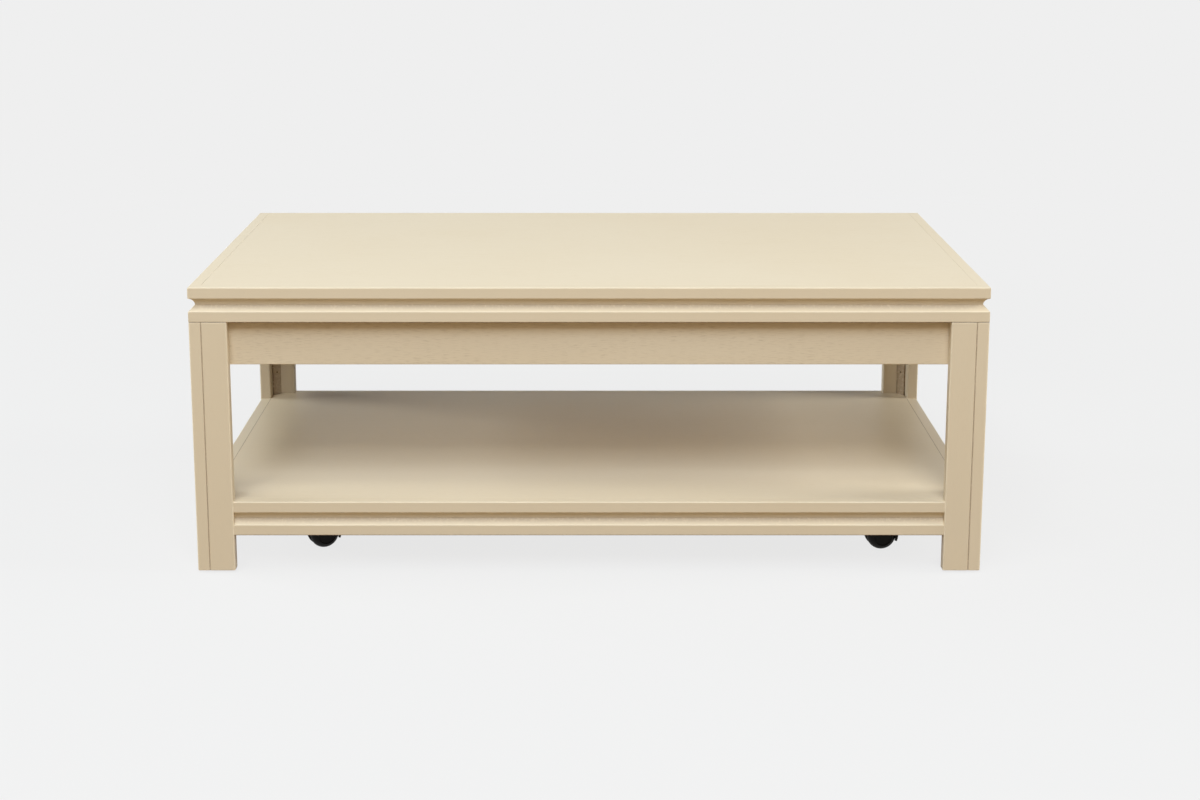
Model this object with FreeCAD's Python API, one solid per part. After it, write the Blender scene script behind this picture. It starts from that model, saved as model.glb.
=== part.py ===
import FreeCAD, Part
import math
import os

# A lacquered coffee table with an open shelf, carried on four hooded castors that hide behind the shelf's
# edge. Millimetres, +X along the length, -Y to the front, +Z up, origin on the floor under the centre.

# Overall size
table_width = 1300.0
table_depth = 700.0
table_height = 485.0
leg_lift = 4.0  # the castors carry the table, so the legs stop short of the floor

# Edge moulding of the top and of the shelf: a flat band, a slope that rises inward to a cove, a second band
band_height = 18.5
cove_height = 21.0  # with the slope
cove_slope_height = 9.5
cove_depth = 10.2
lip_width = 19.0  # moulding that shows beside the panel
ledge_width = 14.0  # rebate that the panel rests on
arris_radius = 1.5  # eased outer edges
cove_arris_radius = 0.8

# Panels of the top and of the shelf
panel_thickness = 18.0
panel_chamfer = 0.5
panel_clearance = 0.4  # round the legs

# Legs: two boards in an L, with a three-sided block in the inner corner
leg_face = 62.0
leg_board = 20.0
leg_arris_radius = 2.0
leg_top_chamfer = 1.2
leg_joint_chamfer = 0.6  # each side of the V along the joint of the two boards
leg_block = 17.0
leg_block_lift = 6.0  # above the foot of the leg

# Aprons, their corner braces and the battens under the top panel
apron_height = 75.0
apron_thickness = 20.0
apron_arris_radius = 1.0
brace_reach = 45.0
brace_thickness = 20.0
brace_height = 40.0
batten_width = 45.0
batten_spacing = 600.0

# Shelf and the bearers that the castors are screwed to
shelf_height = 122.5
shelf_setback = 1.5
bearer_width = 80.0

# Castors: where their swivel pins stand, and which way each one trails (0 is +X, 90 is +Y)
castor_inset_x = 170.0
castor_inset_y = 124.0
castor_headings = {"front_left": 28.0, "front_right": 8.0, "back_left": -16.0, "back_right": 27.0}

# Castor wheels and axle
wheel_diameter = 50.0
wheel_gap = 13.0
wheel_width = 16.0
wheel_crown = 16.0  # radius of the tread's shoulder
tread_edge = 1.5  # rounded inner edge of the tread
wheel_hub_radius = 8.5
wheel_rim_wall = 5.0
wheel_dish = 1.2
wheel_face_wall = 4.5
axle_radius = 3.0
axle_end_gap = 0.5
running_clearance = 0.05

# Castor hood, swivel pin and plate
hood_gap = 2.0
hood_wall = 3.0
hood_half_width = 21.0
hood_lip_height = 14.0
hood_rim_tilt = 24.0
hood_web_gap = 1.0
axle_boss_radius = 7.0
castor_trail = 22.0
pin_radius = 3.5
pin_depth = 27.0  # of the pin below the collar's top
pin_flange_radius = 7.5
pin_flange_thickness = 2.4
swivel_gap = 0.1
collar_radius = 9.0
collar_rise = 6.0  # above the top of the hood
plate_size = 42.0
plate_thickness = 2.5
plate_corner = 4.0
plate_hole_spacing = 30.0

# Fasteners
dowel_radius = 4.0
dowel_from_joint = 12.0  # of the leg's two boards
dowel_from_edge = 14.0  # of the leg's side board
dowel_share = 0.85  # of the moulding's band that a dowel reaches into
screw_radius = 2.0
screw_head_radius = 4.0
screw_head_depth = 2.2
apron_screw_bite = 12.0
panel_screw_bite = 10.0
castor_screw_bite = 14.0
castor_screw_play = 0.2
batten_screw_spacing = 360.0
bearer_screw_spacing = 240.0
apron_screw_levels = (0.25, 0.65)  # shares of the apron's height
nail_radius = 0.8
nail_head_radius = 1.5
nail_head_depth = 0.8
nail_length = 20.0
nail_heights_over_shelf = (-88.0, 45.0, 180.0)

# Sizes that follow from those above
half_width = table_width / 2
half_depth = table_depth / 2
moulding_height = 2 * band_height + cove_height
moulding_width = lip_width + ledge_width
leg_top = table_height - moulding_height
apron_bottom = leg_top - apron_height
dowel_reach = dowel_share * band_height
dowel_inset = leg_board / 2
shelf_underside = shelf_height - panel_thickness
shelf_half_width = half_width - shelf_setback
shelf_half_depth = half_depth - shelf_setback
wheel_radius = wheel_diameter / 2
hood_inner_radius = wheel_radius + hood_gap
hood_outer_radius = hood_inner_radius + hood_wall
collar_top = wheel_radius + hood_outer_radius + collar_rise
plate_underside = collar_top + swivel_gap + pin_flange_thickness
castor_height = plate_underside + plate_thickness
castor_x = half_width - castor_inset_x
castor_y = half_depth - castor_inset_y
web_half_width = wheel_gap / 2 - hood_web_gap
axle_half_length = wheel_gap / 2 + wheel_width - wheel_face_wall - axle_end_gap

UP = FreeCAD.Vector(0, 0, 1)
CORNERS = {
    "front_left": (-1, -1),
    "front_right": (1, -1),
    "back_left": (-1, 1),
    "back_right": (1, 1),
}
SIDES = {"front": (0, -1), "back": (0, 1), "left": (-1, 0), "right": (1, 0)}


def vector(x, y, z=0.0):
    return FreeCAD.Vector(x, y, z)


def block(x_pair, y_pair, z_pair):
    """A box between two values on each axis, in either order."""
    low = vector(min(x_pair), min(y_pair), min(z_pair))
    high = vector(max(x_pair), max(y_pair), max(z_pair))
    size = high - low
    return Part.makeBox(size.x, size.y, size.z, low)


def prism(points, z_pair):
    """A plan outline carried up from the lower level to the upper one."""
    bottom, top = min(z_pair), max(z_pair)
    outline = [vector(x, y, bottom) for x, y in points]
    face = Part.Face(Part.makePolygon(outline + outline[:1]))
    return face.extrude(UP * (top - bottom))


def quarter_round(start, corner, end):
    """The arc that rounds a square corner between two points at the same distance from it."""
    centre = start + end - corner
    middle = centre + (corner - centre).normalize() * (start - centre).Length
    return Part.Arc(start, middle, end).toShape()


def line(start, end):
    return Part.LineSegment(start, end).toShape()


def edges_where(shape, test):
    """The straight or curved edges whose middle passes a test."""
    return [edge for edge in shape.Edges if test(edge.CenterOfMass)]


def near(a, b):
    return abs(a - b) < 1e-4


def fuse(solids):
    return solids[0].multiFuse(solids[1:]).removeSplitter()


def cut(shape, tools):
    """A piece with its holes: the fasteners that meet it taken out of it."""
    box = shape.BoundBox
    meeting = [tool for tool in tools if box.intersect(tool.BoundBox)]
    return shape.cut(meeting) if meeting else shape


# Edge mouldings


def moulding_section(start, inward, top):
    """The moulding's section at a point of its outer edge; inward is the direction into the table."""
    bottom = top - moulding_height
    cove_bottom = bottom + band_height
    cove_top = top - band_height
    slope_top = cove_bottom + cove_slope_height
    ease, cove_ease = arris_radius, cove_arris_radius
    sag, rise = cove_depth - cove_ease, cove_top - slope_top
    cove_radius = (sag**2 + rise**2) / (2 * sag)  # the cove starts upright where the slope ends
    half_sweep = math.atan2(rise, cove_radius - sag) / 2
    cove_middle_depth = cove_depth - cove_radius * (1 - math.cos(half_sweep))
    cove_middle_height = slope_top + cove_radius * math.sin(half_sweep)

    def at(depth, height):
        return start + inward * depth + UP * height

    edges = [
        quarter_round(at(ease, bottom), at(0, bottom), at(0, bottom + ease)),
        line(at(0, bottom + ease), at(0, cove_bottom - cove_ease)),
        quarter_round(at(0, cove_bottom - cove_ease), at(0, cove_bottom), at(cove_ease, cove_bottom)),
        line(at(cove_ease, cove_bottom), at(cove_depth, slope_top)),
        Part.Arc(
            at(cove_depth, slope_top),
            at(cove_middle_depth, cove_middle_height),
            at(cove_ease, cove_top),
        ).toShape(),
        quarter_round(at(cove_ease, cove_top), at(0, cove_top), at(0, cove_top + cove_ease)),
        line(at(0, cove_top + cove_ease), at(0, top - ease)),
        quarter_round(at(0, top - ease), at(0, top), at(ease, top)),
        line(at(ease, top), at(lip_width, top)),
        line(at(lip_width, top), at(lip_width, top - panel_thickness)),
        line(at(lip_width, top - panel_thickness), at(moulding_width, top - panel_thickness)),
        line(at(moulding_width, top - panel_thickness), at(moulding_width, bottom)),
        line(at(moulding_width, bottom), at(ease, bottom)),
    ]
    return Part.Face(Part.Wire(edges))


def side_run(side, half_x, half_y, shortened):
    """Where a side's outer edge starts and ends, and the direction into the table."""
    sx, sy = SIDES[side]
    inward = vector(-sx, -sy)
    along = vector(0, 1) if sx else vector(1, 0)
    middle = vector(sx * half_x, sy * half_y)
    reach = (half_y if sx else half_x) - shortened
    return middle - along * reach, middle + along * reach, inward


def top_moulding(side):
    """One side of the top's edge, mitred at both ends."""
    start, end, inward = side_run(side, half_width, half_depth, 0.0)
    along = (end - start).normalize()
    solid = moulding_section(start, inward, table_height).extrude(end - start)
    mitre = (inward + along) * moulding_width
    back_mitre = (inward - along) * moulding_width
    corners = [start, end, end + back_mitre, start + mitre]
    return solid.common(prism([(p.x, p.y) for p in corners], (leg_top, table_height)))


def shelf_moulding(side):
    """One side of the shelf's edge, butted between two legs."""
    clear = leg_face - shelf_setback
    start, end, inward = side_run(side, shelf_half_width, shelf_half_depth, clear)
    return moulding_section(start, inward, shelf_height).extrude(end - start)


# Panels


def chamfered_panel(half_x, half_y, top):
    panel = block((-half_x, half_x), (-half_y, half_y), (top - panel_thickness, top))
    return panel.makeChamfer(panel_chamfer, edges_where(panel, lambda p: near(p.z, top)))


def top_panel():
    return chamfered_panel(half_width - lip_width, half_depth - lip_width, table_height)


def leg_room(sx, sy):
    """The space that the shelf's panel leaves for a leg's two boards and block."""
    outer_x, outer_y = sx * half_width, sy * half_depth
    board, face = leg_board + panel_clearance, leg_face + panel_clearance
    levels = (shelf_underside, shelf_height)
    side_board = block((outer_x, outer_x - sx * board), (outer_y, outer_y - sy * face), levels)
    face_board = block((outer_x, outer_x - sx * face), (outer_y, outer_y - sy * board), levels)
    corner = leg_corner_prism(sx, sy, leg_block + panel_clearance * math.sqrt(2), levels)
    return [side_board, face_board, corner]


def shelf_panel():
    """The shelf's panel, cut clear of the legs at its corners."""
    panel = chamfered_panel(shelf_half_width - lip_width, shelf_half_depth - lip_width, shelf_height)
    return panel.cut([room for sx, sy in CORNERS.values() for room in leg_room(sx, sy)])


# Legs


def leg_corner_prism(sx, sy, reach, z_pair):
    """A three-sided prism in the inner corner of a leg's L."""
    x, y = sx * (half_width - leg_board), sy * (half_depth - leg_board)
    return prism([(x, y), (x - sx * reach, y), (x, y - sy * reach)], z_pair)


def leg_plan(corner_list):
    """A plan outline of square corners, each (x, y, ease): rounded, or chamfered if the ease is negative."""
    points = [vector(x, y, leg_lift) for x, y, _ in corner_list]
    edges, previous_end, first_start = [], None, None
    for index, (_, _, ease) in enumerate(corner_list):
        corner = points[index]
        back = (points[index - 1] - corner).normalize()
        forward = (points[(index + 1) % len(points)] - corner).normalize()
        start, end = corner + back * abs(ease), corner + forward * abs(ease)
        if previous_end:
            edges.append(line(previous_end, start))
        edges.append(quarter_round(start, corner, end) if ease > 0 else line(start, end))
        first_start = first_start or start
        previous_end = end
    edges.append(line(previous_end, first_start))
    return Part.Face(Part.Wire(edges))


def leg_top_wedge(sx, sy, inward, run):
    """What the chamfer takes off the top of a leg along one of its outer faces."""
    corner = vector(sx * half_width, sy * half_depth, leg_top)
    points = [corner, corner + inward * leg_top_chamfer, corner - UP * leg_top_chamfer]
    return Part.Face(Part.makePolygon(points + points[:1])).extrude(run)


def leg_board_solid(corner_list, sx, sy):
    """A leg board with its top edge chamfered along the leg's two outer faces."""
    solid = leg_plan(corner_list).extrude(UP * (leg_top - leg_lift))
    face_wedge = leg_top_wedge(sx, sy, vector(0, -sy), vector(-sx * leg_face, 0))
    side_wedge = leg_top_wedge(sx, sy, vector(-sx, 0), vector(0, -sy * leg_face))
    return cut(solid, [face_wedge, side_wedge])


def leg_side_board(sx, sy):
    """The board on the table's end, which runs through to the front or back face."""
    outer_x, outer_y = sx * half_width, sy * half_depth
    inner_x, inner_y = outer_x - sx * leg_board, outer_y - sy * leg_face
    corners = [
        (outer_x, outer_y, leg_arris_radius),
        (inner_x, outer_y, -leg_joint_chamfer),
        (inner_x, inner_y, leg_arris_radius),
        (outer_x, inner_y, leg_arris_radius),
    ]
    return leg_board_solid(corners, sx, sy)


def leg_face_board(sx, sy):
    """The board on the table's front or back, butted against the side board."""
    outer_y = sy * half_depth
    joint_x, inner_x = sx * (half_width - leg_board), sx * (half_width - leg_face)
    inner_y = outer_y - sy * leg_board
    corners = [
        (joint_x, outer_y, -leg_joint_chamfer),
        (inner_x, outer_y, leg_arris_radius),
        (inner_x, inner_y, leg_arris_radius),
        (joint_x, inner_y, -leg_joint_chamfer),
    ]
    return leg_board_solid(corners, sx, sy)


def leg_corner_block(sx, sy):
    return leg_corner_prism(sx, sy, leg_block, (leg_lift + leg_block_lift, apron_bottom))


# Aprons, braces, battens and bearers


def apron(side):
    """A rail behind the leg boards; the front and back ones run past the ends of the side ones."""
    sx, sy = SIDES[side]
    outer_x, outer_y = half_width - leg_board, half_depth - leg_board
    inner_x, inner_y = outer_x - apron_thickness, outer_y - apron_thickness
    levels = (apron_bottom, leg_top)
    if sx:
        rail = block((sx * inner_x, sx * outer_x), (-inner_y, inner_y), levels)
    else:
        rail = block((-outer_x, outer_x), (sy * inner_y, sy * outer_y), levels)

    def lower_long_edge(p):
        return near(p.z, apron_bottom) and (near(p.y, 0) if sx else near(p.x, 0))

    return rail.makeFillet(apron_arris_radius, edges_where(rail, lower_long_edge))


def apron_brace(sx, sy):
    """A board set across the inner corner of two aprons."""
    x = sx * (half_width - leg_board - apron_thickness)
    y = sy * (half_depth - leg_board - apron_thickness)
    near_reach = brace_reach
    far_reach = brace_reach + brace_thickness * math.sqrt(2)
    outline = [
        (x - sx * near_reach, y),
        (x, y - sy * near_reach),
        (x, y - sy * far_reach),
        (x - sx * far_reach, y),
    ]
    middle = (apron_bottom + leg_top) / 2
    return prism(outline, (middle - brace_height / 2, middle + brace_height / 2))


def top_batten(sx):
    middle, reach = sx * batten_spacing / 2, half_depth - moulding_width
    width = (middle - batten_width / 2, middle + batten_width / 2)
    return block(width, (-reach, reach), (leg_top, table_height - panel_thickness))


def castor_bearer(sx):
    middle, reach = sx * castor_x, shelf_half_depth - moulding_width
    width = (middle - bearer_width / 2, middle + bearer_width / 2)
    return block(width, (-reach, reach), (castor_height, shelf_underside))


# Castors, made about a swivel pin that stands on the origin, with the wheels trailing along +X


def under_corner(shape, corner, heading=0.0):
    """A castor piece turned about its swivel pin and moved under its corner."""
    sx, sy = CORNERS[corner]
    moved = shape.copy()
    moved.rotate(vector(0, 0), UP, heading)
    moved.translate(vector(sx * castor_x, sy * castor_y))
    return moved


def trailing(shape, corner):
    """A castor piece that swivels, turned to its corner's heading."""
    return under_corner(shape, corner, castor_headings[corner])


def round_y(radius, y_pair, x, z):
    """A cylinder along Y through a point of the XZ plane."""
    low, high = min(y_pair), max(y_pair)
    return Part.makeCylinder(radius, high - low, vector(x, low, z), vector(0, 1))


def round_z(radius, z_pair, x=0.0, y=0.0):
    """A cylinder along Z."""
    low, high = min(z_pair), max(z_pair)
    return Part.makeCylinder(radius, high - low, vector(x, y, low), UP)


def on_axle(distance, radius):
    """A point of a section that is turned about the axle: how far along the axle, and how far from it."""
    return vector(castor_trail, distance, wheel_radius + radius)


def turned(edges):
    """A closed section turned about the axle."""
    face = Part.Face(Part.Wire(edges))
    return face.revolve(vector(castor_trail, 0, wheel_radius), vector(0, 1), 360)


def shoulder_radius(distance, crown):
    """The radius of a rounded shoulder at a distance along the axle, for the shoulder's own arc radius."""
    start = wheel_gap / 2 + tread_edge
    centre = wheel_radius - wheel_crown
    return centre + math.sqrt(crown**2 - (distance - start) ** 2)


def shoulder_arc(from_distance, to_distance, crown, side):
    """The shoulder's arc between two distances along the axle."""
    middle = (from_distance + to_distance) / 2
    points = [
        on_axle(side * distance, shoulder_radius(distance, crown))
        for distance in (from_distance, middle, to_distance)
    ]
    return Part.Arc(*points).toShape()


def castor_wheel(side):
    """One of the pair of wheels: a crowned tread, a dished outer face and a hollow inner one."""
    inner = wheel_gap / 2
    flat_end, outer = inner + tread_edge, inner + wheel_width
    bore = axle_radius + running_clearance
    bore_end, dish = outer - wheel_face_wall, outer - wheel_dish
    rim = shoulder_radius(outer, wheel_crown)
    hollow_end = bore_end - wheel_dish
    hollow_outer = shoulder_radius(hollow_end, wheel_crown) - wheel_rim_wall

    def at(distance, radius):
        return on_axle(side * distance, radius)

    corners = [
        at(outer, rim),
        at(dish, rim - wheel_dish),
        at(dish, 0),
        at(bore_end, 0),
        at(bore_end, bore),
        at(inner, bore),
        at(inner, wheel_hub_radius),
        at(hollow_end, wheel_hub_radius),
        at(hollow_end, hollow_outer),
        at(inner, hollow_outer),
        at(inner, wheel_radius - tread_edge),
    ]
    edges = [line(a, b) for a, b in zip(corners, corners[1:])]
    tread_start = at(inner, wheel_radius - tread_edge)
    edges.append(quarter_round(tread_start, at(inner, wheel_radius), at(flat_end, wheel_radius)))
    edges.append(shoulder_arc(flat_end, outer, wheel_crown, side))
    return turned(edges)


def hood_shell():
    """The hood's wall all the way round the wheels, before its rim is cut."""
    flat_end, reach = wheel_gap / 2 + tread_edge, hood_half_width
    inner_crown = wheel_crown + hood_gap
    outer_crown = inner_crown + hood_wall
    edges = []
    for crown, radius in ((inner_crown, hood_inner_radius), (outer_crown, hood_outer_radius)):
        edges.append(line(on_axle(-flat_end, radius), on_axle(flat_end, radius)))
        for side in (-1, 1):
            edges.append(shoulder_arc(flat_end, reach, crown, side))
    for side in (-1, 1):
        inner_end = on_axle(side * reach, shoulder_radius(reach, inner_crown))
        edges.append(line(inner_end, on_axle(side * reach, shoulder_radius(reach, outer_crown))))
    return turned(Part.__sortEdges__(edges))


def above_rim():
    """The space above the hood's slanted rim, which dips lowest at the tail of the castor."""
    size = 4 * (hood_outer_radius + castor_trail)  # reaches past the hood on every side
    space = Part.makeBox(size, size, size, vector(-size / 2, -size / 2))
    space.rotate(vector(0, 0), vector(0, 1), hood_rim_tilt)
    drop = wheel_radius - hood_lip_height
    space.translate(vector(castor_trail + math.sqrt(hood_outer_radius**2 - drop**2), 0, hood_lip_height))
    return space


def castor_hood():
    """The hood with the web between the wheels, the axle's boss and the collar round the swivel pin."""
    web_y = (-web_half_width, web_half_width)
    web = round_y(hood_outer_radius - hood_wall / 2, web_y, castor_trail, wheel_radius)
    covered = fuse([hood_shell(), web]).common(above_rim())
    axle_boss = round_y(axle_boss_radius, web_y, castor_trail, wheel_radius)
    pin_end = collar_top - pin_depth - swivel_gap
    reach = castor_trail - collar_radius
    collar_bottom = wheel_radius + math.sqrt(hood_inner_radius**2 - reach**2)
    pin_boss = round_z(web_half_width, (pin_end - hood_wall / 2, collar_top))
    collar = round_z(collar_radius, (collar_bottom, collar_top))
    body = fuse([covered, axle_boss, pin_boss, collar])
    pin_hole = round_z(pin_radius + running_clearance, (pin_end, collar_top))
    axle_hole = round_y(axle_radius, (-hood_outer_radius, hood_outer_radius), castor_trail, wheel_radius)
    return body.cut([pin_hole, axle_hole])


def castor_axle():
    return round_y(axle_radius, (-axle_half_length, axle_half_length), castor_trail, wheel_radius)


def castor_kingpin():
    """The swivel pin, riveted into the plate, with a flange that the collar bears on."""
    pin = round_z(pin_radius, (collar_top - pin_depth, castor_height))
    flange = round_z(pin_flange_radius, (plate_underside - pin_flange_thickness, plate_underside))
    return fuse([pin, flange])


def plate_hole_places():
    half = plate_hole_spacing / 2
    return [(x, y) for x in (-half, half) for y in (-half, half)]


def castor_plate():
    half = plate_size / 2
    plate = block((-half, half), (-half, half), (plate_underside, castor_height))
    upright = edges_where(plate, lambda p: near(p.z, (plate_underside + castor_height) / 2))
    plate = plate.makeFillet(plate_corner, upright)
    levels = (plate_underside, castor_height)
    holes = [round_z(pin_radius, levels)]
    for x, y in plate_hole_places():
        holes.append(round_z(screw_radius + castor_screw_play, levels, x, y))
    return plate.cut(holes)


# Fasteners


def wood_screw(head, direction, length):
    """A countersunk screw whose flat head lies at a point, driven along a direction."""
    cone = Part.makeCone(screw_head_radius, screw_radius, screw_head_depth, head, direction)
    shank = Part.makeCylinder(screw_radius, length, head, direction)
    return fuse([cone, shank])


def apron_screws():
    """Two screws through each apron's end into the leg board outside it."""
    screws = []
    length = apron_thickness + apron_screw_bite
    edge = (leg_face - leg_board - apron_thickness) / 2
    x_face, y_face = half_width - leg_board - apron_thickness, half_depth - leg_board - apron_thickness
    x_edge, y_edge = half_width - leg_face + edge, half_depth - leg_face + edge
    for sx, sy in CORNERS.values():
        for share in apron_screw_levels:
            level = apron_bottom + share * apron_height
            screws.append(wood_screw(vector(sx * x_edge, sy * y_face, level), vector(0, sy), length))
            screws.append(wood_screw(vector(sx * x_face, sy * y_edge, level), vector(sx, 0), length))
    return screws


def batten_screws():
    """Screws up through the battens into the top panel, and through the bearers into the shelf panel."""
    screws = []
    for sx in (-1, 1):
        for sy in (-1, 1):
            batten_head = vector(sx * batten_spacing / 2, sy * batten_screw_spacing / 2, leg_top)
            batten_length = moulding_height - panel_thickness + panel_screw_bite
            screws.append(wood_screw(batten_head, UP, batten_length))
            bearer_head = vector(sx * castor_x, sy * bearer_screw_spacing / 2, castor_height)
            bearer_length = shelf_underside - castor_height + panel_screw_bite
            screws.append(wood_screw(bearer_head, UP, bearer_length))
    return screws


def joint_dowels():
    """Upright dowels from the legs into the top's moulding, and level ones into the shelf's."""
    dowels = []
    bands = (shelf_height - band_height / 2, shelf_height - moulding_height + band_height / 2)
    shelf_inset = shelf_setback + dowel_inset
    near_joint = leg_board + dowel_from_joint
    near_edge = leg_face - dowel_from_edge

    def dowel(middle, direction):
        start = middle - direction * dowel_reach
        return Part.makeCylinder(dowel_radius, 2 * dowel_reach, start, direction)

    for sx, sy in CORNERS.values():
        face_x, side_y = sx * (half_width - near_joint), sy * (half_depth - near_edge)
        dowels.append(dowel(vector(face_x, sy * (half_depth - dowel_inset), leg_top), UP))
        dowels.append(dowel(vector(sx * (half_width - dowel_inset), side_y, leg_top), UP))
        for level in bands:
            end_x, end_y = sx * (half_width - leg_face), sy * (half_depth - leg_face)
            dowels.append(dowel(vector(end_x, sy * (half_depth - shelf_inset), level), vector(1, 0)))
            dowels.append(dowel(vector(sx * (half_width - shelf_inset), end_y, level), vector(0, 1)))
    return dowels


def corner_block_nails():
    """Pins through the glue blocks into the corner of the leg, with heads flush in the slanted face."""
    nails = []
    for sx, sy in CORNERS.values():
        x = sx * (half_width - leg_board - leg_block / 2)
        y = sy * (half_depth - leg_board - leg_block / 2)
        direction = vector(sx, sy).normalize()
        for height in nail_heights_over_shelf:
            head = vector(x, y, shelf_height + height)
            top = Part.makeCylinder(nail_head_radius, nail_head_depth, head, direction)
            shank = Part.makeCylinder(nail_radius, nail_length, head, direction)
            nails.append(fuse([top, shank]))
    return nails


def castor_screws():
    """Round-headed screws through the castor plates into the bearers."""
    screws = []
    for corner in CORNERS:
        for x, y in plate_hole_places():
            shank = round_z(screw_radius, (plate_underside, castor_height + castor_screw_bite), x, y)
            head = round_z(screw_head_radius, (plate_underside - screw_head_depth, plate_underside), x, y)
            rim = edges_where(head, lambda p: near(p.z, plate_underside - screw_head_depth))
            head = head.makeFillet(screw_head_depth / 2, rim)
            screws.append(under_corner(fuse([shank, head]), corner))
    return screws


# The whole table


def make_nodes():
    """Every node's name and shape."""
    dowels, nails = joint_dowels(), corner_block_nails()
    rail_screws, panel_screws, plate_screws = apron_screws(), batten_screws(), castor_screws()
    nodes = {
        "top_panel": cut(top_panel(), panel_screws),
        "shelf_panel": cut(shelf_panel(), panel_screws),
        "joint_dowels": Part.makeCompound(dowels),
        "corner_block_nails": Part.makeCompound(nails),
        "apron_screws": Part.makeCompound(rail_screws),
        "batten_screws": Part.makeCompound(panel_screws),
        "castor_screws": Part.makeCompound(plate_screws),
        "castor_kingpins": Part.makeCompound([under_corner(castor_kingpin(), c) for c in CORNERS]),
    }
    for side in SIDES:
        nodes[f"top_moulding_{side}"] = cut(top_moulding(side), dowels)
        nodes[f"shelf_moulding_{side}"] = cut(shelf_moulding(side), dowels)
        nodes[f"apron_{side}"] = cut(apron(side), rail_screws)
    for name, sx in (("left", -1), ("right", 1)):
        nodes[f"top_batten_{name}"] = cut(top_batten(sx), panel_screws)
        nodes[f"castor_bearer_{name}"] = cut(castor_bearer(sx), panel_screws + plate_screws)
    wheels = {"left": castor_wheel(1), "right": castor_wheel(-1)}
    hood, axle, plate = castor_hood(), castor_axle(), castor_plate()
    for corner, (sx, sy) in CORNERS.items():
        leg_tools = dowels + nails + rail_screws
        nodes[f"leg_{corner}_side_board"] = cut(leg_side_board(sx, sy), leg_tools)
        nodes[f"leg_{corner}_face_board"] = cut(leg_face_board(sx, sy), leg_tools)
        nodes[f"leg_{corner}_corner_block"] = cut(leg_corner_block(sx, sy), nails)
        nodes[f"apron_brace_{corner}"] = apron_brace(sx, sy)
        nodes[f"castor_{corner}_plate"] = under_corner(plate, corner)
        nodes[f"castor_{corner}_hood"] = trailing(hood, corner)
        nodes[f"castor_{corner}_axle"] = trailing(axle, corner)
        for hand, wheel in wheels.items():
            nodes[f"castor_{corner}_wheel_{hand}"] = trailing(wheel, corner)
    return nodes


def main():
    os.makedirs("parts", exist_ok=True)
    for name, shape in make_nodes().items():
        shape.exportStep(f"parts/{name}.step")


main()
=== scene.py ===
import math
from typing import NamedTuple

import bmesh
import bpy
import numpy as np
from bpy.props import FloatProperty, FloatVectorProperty, PointerProperty
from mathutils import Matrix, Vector


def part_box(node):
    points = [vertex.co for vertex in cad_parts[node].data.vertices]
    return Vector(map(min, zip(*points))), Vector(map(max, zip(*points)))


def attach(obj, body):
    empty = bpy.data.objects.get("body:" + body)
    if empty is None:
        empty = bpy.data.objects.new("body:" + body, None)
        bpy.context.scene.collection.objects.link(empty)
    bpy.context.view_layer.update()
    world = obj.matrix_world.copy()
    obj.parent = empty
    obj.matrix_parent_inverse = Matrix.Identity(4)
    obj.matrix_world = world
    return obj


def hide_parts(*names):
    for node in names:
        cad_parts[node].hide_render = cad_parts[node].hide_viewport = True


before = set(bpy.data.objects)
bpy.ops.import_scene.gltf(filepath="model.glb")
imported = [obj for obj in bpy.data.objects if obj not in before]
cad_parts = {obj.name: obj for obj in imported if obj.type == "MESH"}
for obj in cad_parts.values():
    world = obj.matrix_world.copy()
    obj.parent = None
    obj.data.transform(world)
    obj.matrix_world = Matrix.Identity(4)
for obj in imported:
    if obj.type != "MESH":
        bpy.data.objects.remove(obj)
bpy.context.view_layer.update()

bl_info = {
    "name": "Cream coffee table on castors",
    "version": (1, 0, 0),
    "blender": (4, 5, 0),
    "location": "View3D > Sidebar > Coffee table",
    "description": "Lacquered boards, mouldings, castors and a studio for the packed coffee table",
    "category": "Object",
}

# Places that come from the frame, in metres: +X along the table, -Y to the front, +Z up
SIDES = {"front": (0, -1), "back": (0, 1), "left": (-1, 0), "right": (1, 0)}
CORNERS = {"front_left": (-1, -1), "front_right": (1, -1), "back_left": (-1, 1), "back_right": (1, 1)}
HANDS = ("left", "right")


def span(node):
    """The lowest and highest corner of a CAD node as arrays."""
    low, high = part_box(node)
    return np.array(low), np.array(high)


def display_colour(red, green, blue):
    """A colour as a screen shows it, 0 to 255 a channel, turned into the linear light that shaders use."""
    shown = np.array([red, green, blue]) / 255
    linear = np.where(shown <= 0.04045, shown / 12.92, ((shown + 0.055) / 1.055) ** 2.4)
    return tuple(float(channel) for channel in linear)


# Settings


def length(name, description, default):
    """A setting in metres."""
    return FloatProperty(
        name=name,
        description=description,
        default=default,
        min=0.0,
        unit="LENGTH",
        precision=5,
    )


def colour(name, description, red, green, blue):
    """A colour setting, written as a screen shows it."""
    return FloatVectorProperty(
        name=name,
        description=description,
        default=display_colour(red, green, blue),
        subtype="COLOR",
        min=0.0,
        max=1.0,
    )


def share(name, description, default):
    """A setting between nothing and one."""
    return FloatProperty(
        name=name,
        description=description,
        default=default,
        min=0.0,
        max=1.0,
        subtype="FACTOR",
    )


def power(name, description, default):
    """A light's power in watts."""
    return FloatProperty(name=name, description=description, default=default, min=0.0, unit="POWER")


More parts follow.
